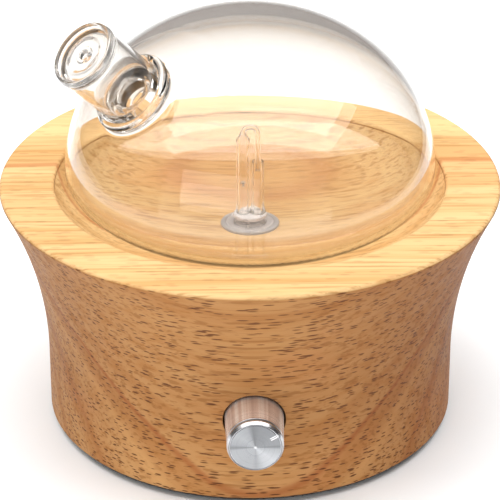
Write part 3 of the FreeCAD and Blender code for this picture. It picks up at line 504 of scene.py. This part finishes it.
def milky_silicone():
    """Translucent grey-lavender silicone."""
    tones = ((0.82, 0.78, 0.82), (0.90, 0.87, 0.90))
    looks = {"Roughness": 0.35, "Transmission_Weight": 0.55, "IOR": 1.41}
    return mottled("milky_silicone", *tones, (250, 2), (900, 0.02, 0.4), **looks)


def brushed_metal(name, dark, light, rough, stretch):
    """Drawn or ground metal with fine lines along one direction."""
    metal = Surface(name, Metallic=1.0, Roughness=rough)
    lines = metal.noise(900, metal.place(stretch), 3, 0.6)
    metal.set(Base_Color=metal.ramp(lines, [(0.3, dark), (0.7, light)]))
    metal.set(Roughness=metal.fade(lines, 0.2, 0.8, rough - 0.06, rough + 0.08))
    metal.bump(lines, 0.01 * MM, 0.4)
    return metal.material


# Painted sheen of the knob's face round its axis: angle from +X towards +Z in degrees, and brightness.
PAINTED_FANS = (
    (-180, 0.36), (-172, 0.60), (-150, 0.62), (-100, 0.62), (-88, 0.54), (-66, 0.76),
    (-40, 0.82), (-16, 0.66), (-5, 0.60), (2, 0.34), (9, 0.44), (40, 0.42),
    (78, 0.40), (97, 0.32), (112, 0.54), (140, 0.62), (170, 0.54), (180, 0.36),
)
PAINTED_SHEEN = (0.62, 0.635, 0.66)


def knob_face_painted_sheen(metal, x, up, angle, rings):
    """Fans of painted sheen crossed by fine turned rings, with a bright middle."""
    turn = metal.fade(angle, -math.pi, math.pi, kind="LINEAR")
    stops = [((degrees + 180) / 360, tuple(sheen * tone for tone in PAINTED_SHEEN)) for degrees, sheen in PAINTED_FANS]
    ring_dark = metal.fade(rings, 0.5, 0.75, 0.0, 0.45)
    face = metal.mix(ring_dark, metal.ramp(turn, stops), (0.15, 0.16, 0.175))
    middle = metal.fade(metal.length(x, up), 0.55 * MM, 0.0, 0.0, 0.8)
    return metal.mix(middle, face, (0.95, 0.95, 0.96))


def knob_side_painted_light(metal, y, angle):
    """Warm and pale stripes of painted reflection along the side, a plain band behind the face and painted shade
    in the groove in it.
    """
    reflected_stripes = metal.streaks(angle, 3.4, 2.0)
    stops = [(0.32, (0.66, 0.55, 0.50)), (0.5, (0.80, 0.70, 0.65)), (0.66, (0.98, 0.95, 0.92))]
    in_band = metal.fade(y, KNOB_FRONT + 2.6 * MM, KNOB_FRONT + 2.4 * MM)
    side = metal.mix(in_band, metal.ramp(reflected_stripes, stops), (0.66, 0.66, 0.68))
    # Painted shade in the turned groove.
    from_groove = metal.math("ABSOLUTE", metal.math("SUBTRACT", y, KNOB_FRONT + EDGE_GROOVE))
    groove = metal.math("MULTIPLY", metal.fade(from_groove, 0.5 * MM, 0.35 * MM), 0.8)
    return metal.mix(groove, side, (0.16, 0.16, 0.17))


def pointer_painted_highlight(metal, x, y, up):
    """How strongly the painted highlights on the two edges of the engraved pointer show."""
    sin, cos = math.sin(math.radians(POINTER_TURN)), math.cos(math.radians(POINTER_TURN))
    along = metal.math("ADD", metal.math("MULTIPLY", x, cos), metal.math("MULTIPLY", up, sin))
    beside = metal.math("SUBTRACT", metal.math("MULTIPLY", up, cos), metal.math("MULTIPLY", x, sin))
    from_edge = metal.math("SUBTRACT", metal.math("ABSOLUTE", beside), 0.26 * MM)
    near = metal.fade(metal.math("ABSOLUTE", from_edge), 0.2 * MM, 0.08 * MM)
    outer = metal.math("MULTIPLY", near, metal.fade(along, 4.4 * MM, 4.6 * MM))
    front = metal.fade(y, KNOB_FRONT + 0.6 * MM, KNOB_FRONT + 0.5 * MM)
    return metal.math("MULTIPLY", metal.math("MULTIPLY", outer, front), 0.85)


def spun_aluminium():
    """Turned aluminium: rings about the knob's axis, painted sheen in fans on its face, painted reflections down
    its side, painted shade in its groove and an engraved pointer with painted highlights on its edges.
    """
    metal = Surface("spun_aluminium", Metallic=1.0, Anisotropic=0.6, Anisotropic_Rotation=0.25)
    x, y, z = metal.axes()
    up = metal.math("SUBTRACT", z, DIAL_Z)
    angle = metal.math("ARCTAN2", up, x)
    turning = metal.node("UVMap", uv_map="turning").outputs[0]
    rings = metal.streaks(metal.node("SeparateXYZ", {0: turning}).outputs[1], 75.0, 3.0)
    on_face = metal.fade(y, KNOB_FRONT + 0.2 * MM, KNOB_FRONT + 0.08 * MM)
    colour = metal.mix(on_face, knob_side_painted_light(metal, y, angle), knob_face_painted_sheen(metal, x, up, angle, rings))
    # Painted highlights along the pointer's two edges.
    colour = metal.mix(pointer_painted_highlight(metal, x, y, up), colour, (1.0, 1.0, 1.0))
    metal.set(Metallic=metal.fade(y, KNOB_FRONT + 3.0 * MM, KNOB_FRONT + 2.8 * MM, 0.55, 1.0))
    metal.set(Base_Color=colour, Roughness=metal.fade(rings, 0.2, 0.8, 0.26, 0.38))
    metal.bump(rings, 0.008 * MM, 0.4)
    metal.set(Tangent=metal.node("Tangent", direction_type="UV_MAP", uv_map="turning").outputs[0])
    return metal.material


def circuit_board():
    """Green solder mask over a maze of copper tracks."""
    board = Surface("circuit_board", Roughness=0.35)
    bricks = {"Vector": board.place(), "Scale": 160.0, "Mortar Size": 0.05}
    tracks = board.node("TexBrick", bricks).outputs["Fac"]
    board.set(Base_Color=board.mix(tracks, (0.01, 0.13, 0.05), (0.03, 0.25, 0.09)))
    board.bump(tracks, 0.05 * MM, 0.5)
    return board.material


def filter_foam():
    """Open-cell foam."""
    foam = Surface("filter_foam", Roughness=0.95)
    cells = foam.node("TexVoronoi", {"Vector": foam.place(), "Scale": 1100.0}).outputs["Distance"]
    foam.set(Base_Color=foam.ramp(cells, [(0.1, (0.01, 0.01, 0.01)), (0.6, (0.12, 0.12, 0.12))]))
    foam.bump(cells, 0.3 * MM, 0.8)
    return foam.material


# --- glass pieces --------------------------------------------------------------------------------


OUTSIDE = (DOME_RADIUS, DOME_RISE, BOWL_DROP)
INSIDE = (DOME_RADIUS - SIDE_WALL, DOME_RISE - CROWN_WALL, BOWL_DROP - BOWL_WALL)


def wall_hit(origin, direction, surface):
    """Point where a line leaves the vessel's outer or inner surface."""
    radius, rise, drop = surface
    for height, upper in ((rise, True), (drop, False)):
        stretch = Vector((1 / radius, 1 / radius, 1 / height))
        start = (origin - Vector((0, 0, WIDEST))) * stretch
        way = direction * stretch
        a = way.dot(way)
        b = start.dot(way)
        c = start.dot(start) - 1
        reach = (-b + math.sqrt(max(b * b - a * c, 0))) / a
        point = origin + direction * reach
        if (point.z >= WIDEST) == upper:
            return point
    return point


def neck_mouth():
    """Outline of the neck from its outside over the rim, down the socket and into the bore."""
    rim = NECK_MOUTH
    return [
        (NECK_RADIUS, rim - 2.0 * MM),
        (NECK_RADIUS + 0.45 * MM, rim - 1.75 * MM),
        (NECK_RADIUS + 0.78 * MM, rim - 1.2 * MM),
        (NECK_RADIUS + 0.72 * MM, rim - 0.6 * MM),
        (NECK_RADIUS + 0.42 * MM, rim - 0.18 * MM),
        (NECK_RADIUS - 0.05 * MM, rim),
        (NECK_RADIUS - 0.55 * MM, rim - 0.06 * MM),
        (SOCKET_RADIUS + 0.2 * MM, rim - 0.35 * MM),
        (SOCKET_RADIUS, rim - 0.8 * MM),
        (SOCKET_RADIUS, NECK_FLOOR + 0.35 * MM),
        (SOCKET_RADIUS - 0.35 * MM, NECK_FLOOR),
        (NECK_BORE + 0.35 * MM, NECK_FLOOR),
        (NECK_BORE, NECK_FLOOR - 0.35 * MM),
    ]


def glass_vessel():
    """Dome, bowl and leaning neck in one closed skin, its rings centred on the neck.

    Rings near the neck are offset from its axis; beyond the spread they follow angles from it.
    """
    count = 160
    first_angle = 28
    turns = 110
    side, other = frame_of(NECK)
    around = [side * math.cos(TAU * i / count) + other * math.sin(TAU * i / count) for i in range(count)]

    def by_angle(angle, surface):
        ways = [NECK * math.cos(angle) + out * math.sin(angle) for out in around]
        return [wall_hit(NECK_ROOT, way, surface) for way in ways]

    def by_offset(offset, surface):
        return [wall_hit(NECK_ROOT + out * offset, NECK, surface) for out in around]

    def level(radius, along):
        return [NECK_ROOT + NECK * along + out * radius for out in around]

    def fillet(edge, spread, surface, rise):
        """Rings that turn from the wall up the neck, or up its bore."""
        flat = by_offset(spread, surface)
        corner = by_offset(edge, surface)
        raised = [point + NECK * rise for point in corner]
        rings = []
        for step in range(1, 7):
            t = step / 6
            first, middle, last = (1 - t) ** 2, 2 * t * (1 - t), t**2
            rings.append([f * first + c * middle + r * last for f, c, r in zip(flat, corner, raised)])
        return rings

    spread = 22 * MM
    root = 12.3 * MM
    angles = [math.radians(first_angle + (180 - first_angle) * step / turns) for step in range(turns)]
    outer = [[wall_hit(NECK_ROOT, -NECK, OUTSIDE)]]
    outer += [by_angle(angle, OUTSIDE) for angle in reversed(angles[1:])]
    outer += [by_offset(spread + (root - spread) * step / 10, OUTSIDE) for step in range(11)]
    outer += fillet(NECK_RADIUS, root, OUTSIDE, 1.2 * MM)
    neck = [level(radius, along) for radius, along in neck_mouth()]
    lip = NECK_BORE + 1.4 * MM
    inner = fillet(NECK_BORE, lip, INSIDE, 0.5 * MM)[::-1]
    inner += [by_offset(lip + (spread - lip) * step / 12, INSIDE) for step in range(13)]
    inner += [by_angle(angle, INSIDE) for angle in angles[1:]]
    inner += [[wall_hit(NECK_ROOT, -NECK, INSIDE)]]
    piece = mesh_from_rings("glass_vessel", outer + neck + inner, sharp=75)
    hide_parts("glass_dome", "glass_bowl", "glass_neck")
    return piece


def glass_stem():
    """Stem under the vessel, with its air passage."""
    top = WIDEST - BOWL_DROP - 0.02 * MM
    radius = 4.25 * MM
    bore = 1.2 * MM
    outline = rounded(
        [
            (bore, STEM_LOW, 0.2 * MM),
            (radius, STEM_LOW, 0.8 * MM),
            (radius, top - 0.4 * MM, 0),
            (radius - 0.3 * MM, top, 0),
            (bore, top, 0.2 * MM),
        ]
    )
    return lathe("glass_stem", outline, segments=72)


def air_riser():
    """Tube that rises from the foot, narrows, arches over and comes down into the top of the oil tube."""
    bend = (OIL_X - RISER_X) / 2
    foot_top = NOZZLE_LOW + NOZZLE_FOOT
    crown = NOZZLE_LOW + RISER_TALL + RISER_TAPER
    rows = []  # X and Z in metres, outer and inner radius in millimetres
    for step in range(13):
        rows.append((RISER_X, foot_top + (RISER_TALL - NOZZLE_FOOT) * step / 12, 1.85, 1.15))
    for step in range(1, 5):
        t = step / 4
        ease = t * t * (3 - 2 * t)
        height = NOZZLE_LOW + RISER_TALL + RISER_TAPER * t
        rows.append((RISER_X, height, 1.85 - 1.05 * ease, 1.15 - 0.75 * ease))
    for step in range(1, 15):
        angle = math.pi * step / 14
        x = RISER_X + bend - bend * math.cos(angle)
        rows.append((x, crown + bend * 0.95 * math.sin(angle), 0.80 - 0.08 * step / 14, 0.38))
    for step in range(1, 9):
        rows.append((OIL_X, crown - JET_DROP * step / 8, 0.70, 0.36))
    path = [Vector((row[0], 0, row[1])) for row in rows]
    outer = [row[2] * MM for row in rows]
    inner = [row[3] * MM for row in rows]
    return tube("air_riser", path, outer, inner)


def oil_tube():
    """Oil tube that stands on the foot, with the riser's end inside it."""
    corners = [(1.05, 1.22, 0.1), (2.3, 1.22, 0.2), (1.72, 3.4, 1.5), (1.60, 17.2, 0.45), (1.05, 17.0, 0.3)]
    return lathe("oil_tube_glass", rounded(in_metres(corners), 5), (OIL_X, 0, NOZZLE_LOW), segments=56)


def side_jet():
    """Small jet on the riser's side."""
    corners = [(0.28, 1.7, 0.05), (0.95, 1.7, 0.1), (0.75, 2.9, 0.3), (0.28, 2.9, 0.1)]
    origin = (RISER_X, 0, NOZZLE_LOW + 11 * MM)
    return lathe("side_jet", rounded(in_metres(corners), 4), origin, (0, -1, 0), segments=36)


def nozzle_foot():
    """Round foot of the atomiser, with a shallow groove round its top."""
    corners = [
        (0.9, 0.02, 0.1),
        (4.6, 0.02, 0.3),
        (4.4, 1.18, 0.6),
        (3.6, 1.0, 0.4),
        (3.2, 1.18, 0.2),
        (0.9, 1.18, 0.2),
    ]
    return lathe("nozzle_foot", rounded(in_metres(corners), 5), (0, 0, NOZZLE_LOW), segments=72)


def nozzle_pieces():
    """Atomiser: riser arched into the jet tube, oil tube, small side jet and foot."""
    riser = air_riser()
    oil = oil_tube()
    jet = side_jet()
    foot = nozzle_foot()
    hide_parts("air_nozzle")
    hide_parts("oil_tube")
    return [riser, oil, jet, foot]


def stopper():
    """Hollow stopper: plug, thin cup turned upside down, and a ringed crown with the mist hole."""
    floor = NECK_MOUTH + 0.6 * MM
    cup = STOPPER_RADIUS - 1.6 * MM
    plug = NECK_BORE - 0.1 * MM
    seat = NECK_FLOOR + 0.05 * MM
    crown = STOPPER_END - 1.3 * MM
    under = STOPPER_END - 2.9 * MM
    passage = 4.4 * MM
    hole = 1.3 * MM
    outline = rounded(
        [
            (passage, NECK_FLOOR - 4.0 * MM, 0.4 * MM),
            (plug, NECK_FLOOR - 4.0 * MM, 0.6 * MM),
            (plug, seat, 0.1 * MM),
            (STOPPER_RADIUS, seat, 0.8 * MM),
            (STOPPER_RADIUS - 0.15 * MM, STOPPER_END - 3.4 * MM, 1.5 * MM),
            (STOPPER_RADIUS + 0.3 * MM, STOPPER_END - 1.6 * MM, 0.9 * MM),
            (STOPPER_RADIUS - 0.1 * MM, STOPPER_END, 0.8 * MM),
            (cup + 0.8 * MM, STOPPER_END, 0.5 * MM),
            (cup + 0.3 * MM, crown, 0.6 * MM),
            (cup - 1.4 * MM, crown + 0.05 * MM, 0.5 * MM),
            (cup - 2.0 * MM, crown + 0.45 * MM, 0.4 * MM),
            (cup - 2.9 * MM, crown + 0.05 * MM, 0.5 * MM),
            (hole + 1.3 * MM, crown - 0.05 * MM, 0.4 * MM),
            (hole + 0.9 * MM, crown + 0.5 * MM, 0.35 * MM),
            (hole, crown + 0.45 * MM, 0.4 * MM),
            (hole, under, 0.3 * MM),
            (cup, under, 1.3 * MM),
            (cup, floor, 2.2 * MM),
            (passage + 0.9 * MM, floor + 0.1 * MM, 0.5 * MM),
            (passage, floor - 0.6 * MM, 0.5 * MM),
        ]
    )
    piece = lathe("stopper_glass", outline, NECK_ROOT, NECK, segments=144, sharp=75)
    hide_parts("glass_stopper")
    return piece


def grommet():
    """Translucent silicone grommet with moulded rings on its flange."""
    sleeve = 4.4 * MM
    top = grommet_high.z
    outline = rounded(
        [
            (sleeve, grommet_low.z, 0.1 * MM),
            (4.9 * MM, grommet_low.z, 0.1 * MM),
            (4.9 * MM, top - 1.0 * MM, 0.1 * MM),
            (8.0 * MM, top - 1.0 * MM, 0.2 * MM),
            (8.0 * MM, top - 0.1 * MM, 0.4 * MM),
            (6.9 * MM, top - 0.05 * MM, 0.2 * MM),
            (6.5 * MM, top - 0.35 * MM, 0.2 * MM),
            (6.1 * MM, top - 0.05 * MM, 0.2 * MM),
            (sleeve + 0.2 * MM, top - 0.05 * MM, 0.2 * MM),
            (sleeve, top - 0.4 * MM, 0.1 * MM),
        ],
        4,
    )
    piece = lathe("grommet_soft", outline, segments=96)
    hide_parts("stem_grommet")
    return piece


# --- knob ----------------------------------------------------------------------------------------


def pointer_cutter():
    """Three-sided bar that cuts the pointer's groove into the face."""
    tilt = math.radians(POINTER_TURN)
    ahead = Vector((math.cos(tilt), 0, math.sin(tilt)))
    across = Vector((-math.sin(tilt), 0, math.cos(tilt)))
    start = Vector((0, KNOB_FRONT, DIAL_Z)) + ahead * KNOB_FACE * 0.66
    points = []
    for along in (0.0, KNOB_FACE * 0.40):
        for width, depth in ((-0.36, -0.2), (0.36, -0.2), (0.0, 0.3)):
            points.append(start + ahead * along + across * width * MM + Vector((0, depth * MM, 0)))
    groove = bpy.data.meshes.new("groove")
    groove.from_pydata(points, [], [(0, 1, 2), (5, 4, 3), (0, 3, 4, 1), (1, 4, 5, 2), (2, 5, 3, 0)])
    cutter = bpy.data.objects.new("groove", groove)
    bpy.context.scene.collection.objects.link(cutter)
    if enclosed_volume(groove) < 0:
        groove.flip_normals()
    return cutter


def knob():
    """Spun aluminium knob: tapered side, grooved edge, bevel, faintly dished face and engraved pointer."""
    long = KNOB_REAR - KNOB_FRONT
    edge = 7.35 * MM
    face = KNOB_FACE
    bore = 5.6 * MM
    corners = [
        (0.0, long - 3 * MM, 0),
        (bore, long - 3 * MM, 0.1 * MM),
        (bore, 0, 0.1 * MM),
        (KNOB_RADIUS, 0, 0.25 * MM),
        (edge, long - 2.9 * MM, 0),
        (edge - 0.05 * MM, long - 2.5 * MM, 0.1 * MM),
        (edge - 0.5 * MM, long - 2.35 * MM, 0.05 * MM),
        (edge - 0.5 * MM, long - 1.75 * MM, 0.05 * MM),
        (edge, long - 1.55 * MM, 0.12 * MM),
        (edge, long - 0.95 * MM, 0.12 * MM),
        (face, long, 0.06 * MM),
        (face - 0.12 * MM, long, 0.04 * MM),
        (face - 0.2 * MM, long - 0.3 * MM, 0.04 * MM),
        (face - 0.34 * MM, long - 0.3 * MM, 0.04 * MM),
        (face - 0.42 * MM, long, 0.04 * MM),
    ]
    outline = rounded(corners, 4)
    inner = face - 0.5 * MM
    dish = 0.05 * MM
    for step in range(1, 24):
        t = 1 - step / 24
        outline.append((inner * t, long - dish * (1 - t * t)))
    outline.append((0.0, long - dish))
    origin = Vector((0, KNOB_REAR, DIAL_Z))
    piece = lathe("knob_turned", outline, origin, (0, -1, 0), segments=160, sharp=32)
    carve(piece, pointer_cutter())
    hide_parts("knob_shell")
    return piece


# --- assemble ------------------------------------------------------------------------------------


def dress(piece, material):
    """Give a piece one material."""
    piece.data.materials.clear()
    piece.data.materials.append(material)


def add(piece, material, body):
    """Finish a new piece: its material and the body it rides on."""
    dress(piece, material)
    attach(piece, body)


glass = clear_glass("clear_glass", ior=1.45, straight=0.0, density=6.0)
thin_glass = clear_glass("thin_glass", ior=1.4, straight=0.06, density=4.0)
fine_glass = clear_glass("fine_glass", ior=1.33, straight=0.08, density=4.0)
frosted = frosted_glass()
silicone = milky_silicone()
aluminium = spun_aluminium()
add(glass_vessel(), glass, "vessel")
add(glass_stem(), frosted, "vessel")
for part in nozzle_pieces():
    add(part, frosted if part.name == "nozzle_foot" else fine_glass, "vessel")
add(stopper(), thin_glass, "stopper")
add(grommet(), silicone, "base")
add(knob(), aluminium, "dial")

# Each with its darker and lighter tone and its roughness, and for metals the stretch of its lines.
PLASTICS = {
    "black_plastic": ((0.012, 0.012, 0.013), (0.03, 0.03, 0.03), 0.5),
    "white_plastic": ((0.72, 0.72, 0.70), (0.82, 0.82, 0.80), 0.45),
    "component_black": ((0.02, 0.02, 0.025), (0.05, 0.05, 0.06), 0.4),
    "lead_sleeve": ((0.35, 0.03, 0.025), (0.5, 0.05, 0.04), 0.35),
}
METALS = {
    "screw_steel": ((0.18, 0.18, 0.19), (0.35, 0.35, 0.36), 0.35, (1, 1, 0.05)),
    "plated_steel": ((0.55, 0.55, 0.53), (0.75, 0.74, 0.72), 0.3, (0.03, 1, 1)),
    "motor_steel": ((0.50, 0.50, 0.50), (0.66, 0.66, 0.65), 0.38, (1, 0.04, 0.04)),
    "shaft_steel": ((0.6, 0.6, 0.62), (0.78, 0.78, 0.8), 0.25, (0.05, 1, 1)),
}
LOOKS = {
    "rubberwood": rubberwood(),
    "black_rubber": soft_rubber("black_rubber", (0.02, 0.02, 0.02), (0.05, 0.05, 0.05)),
    "filter_foam": filter_foam(),
    "clear_glass": glass,
    "silicone": silicone,
    "circuit_board": circuit_board(),
    "spun_aluminium": aluminium,
}
for name, looks in PLASTICS.items():
    LOOKS[name] = moulded_plastic(name, *looks)
for name, looks in METALS.items():
    LOOKS[name] = brushed_metal(name, *looks)
for entry in frame["record"]["subparts"]:
    dress(frame["nodes"][entry["node"]], LOOKS[entry["material_slot"]])

# --- studio --------------------------------------------------------------------------------------


def paper_floor():
    """Large round sheet of pale paper that the object stands on."""
    middle, reach = 0.6, 4.0
    piece = lathe("paper_floor", [(0.0, 0.0), (middle, 0.0), (reach, 0.0)], segments=96, loop=False)
    tones = ((0.93, 0.95, 0.965), (0.945, 0.965, 0.98))
    dress(piece, mottled("pale_paper", *tones, (60, 3), (700, 0.02, 0.3), Roughness=0.9))


def studio_world():
    """Bright ceiling over a softer horizon, fading from left to right."""
    world = bpy.data.worlds.new("studio")
    bpy.context.scene.world = world
    world.use_nodes = True
    sky = Nodes(world.node_tree)
    across, up = sky.axes("Generated")[0], sky.axes("Generated")[2]
    horizon = [(0.0, (0.46, 0.42, 0.40)), (0.3, (0.50, 0.47, 0.45))]
    ceiling = [(0.6, (0.58, 0.56, 0.54)), (1.0, (0.65, 0.64, 0.63))]
    background = sky.tree.nodes["Background"].inputs
    sky.put(background["Color"], sky.ramp(up, horizon + ceiling))
    sky.put(background["Strength"], sky.fade(across, -1.0, 1.0, 1.0, 0.55, kind="LINEAR"))


def softbox(name, place, target, size, power):
    """Rectangular area light aimed at a point."""
    light = bpy.data.lights.new(name, "AREA")
    light.shape = "RECTANGLE"
    light.size, light.size_y = size
    light.energy = power
    lamp = bpy.data.objects.new(name, light)
    lamp.location = place
    lamp.rotation_euler = (Vector(target) - Vector(place)).to_track_quat("-Z", "Y").to_euler()
    bpy.context.scene.collection.objects.link(lamp)


def dark_card(name, x, felt):
    """Black felt card beside the object, out of view, which draws dark outlines in the glass."""
    low, high, near, far = 0.0, 0.34, -0.35, 0.5
    mesh = bpy.data.meshes.new(name)
    mesh.from_pydata([(x, near, low), (x, far, low), (x, far, high), (x, near, high)], [], [(0, 1, 2, 3)])
    card = bpy.data.objects.new(name, mesh)
    bpy.context.scene.collection.objects.link(card)
    card.visible_camera = False
    dress(card, felt)


def camera():
    """Long lens, a little above and a touch left of the front."""
    pitch = math.radians(27.86)
    turn = math.radians(1.15)
    reach, height = 0.6448, 0.3874
    place = Vector((-math.sin(turn) * reach, -math.cos(turn) * reach, height))
    aim = Vector((math.sin(turn) * math.cos(pitch), math.cos(turn) * math.cos(pitch), -math.sin(pitch)))
    data = bpy.data.cameras.new("camera")
    data.lens = 191.8
    data.sensor_width = 36
    data.clip_start = 0.01
    holder = bpy.data.objects.new("camera", data)
    holder.location = place
    holder.rotation_euler = aim.to_track_quat("-Z", "Y").to_euler()
    bpy.context.scene.collection.objects.link(holder)
    bpy.context.scene.camera = holder


paper_floor()
studio_world()
black_felt = mottled("black_felt", (0.015, 0.014, 0.013), (0.03, 0.028, 0.026), (400, 3), Roughness=1.0)
dark_card("card_left", -0.5, black_felt)
dark_card("card_right", 0.36, black_felt)
softbox("overhead", place=(0.0, 0.05, 1.1), target=(0, 0.0, 0.05), size=(2.0, 1.0), power=24.5)
softbox("front", place=(-0.5, -1.35, 0.55), target=(0, 0, 0.04), size=(1.3, 0.7), power=5.5)
camera()
bpy.context.scene.view_settings.view_transform = "Standard"
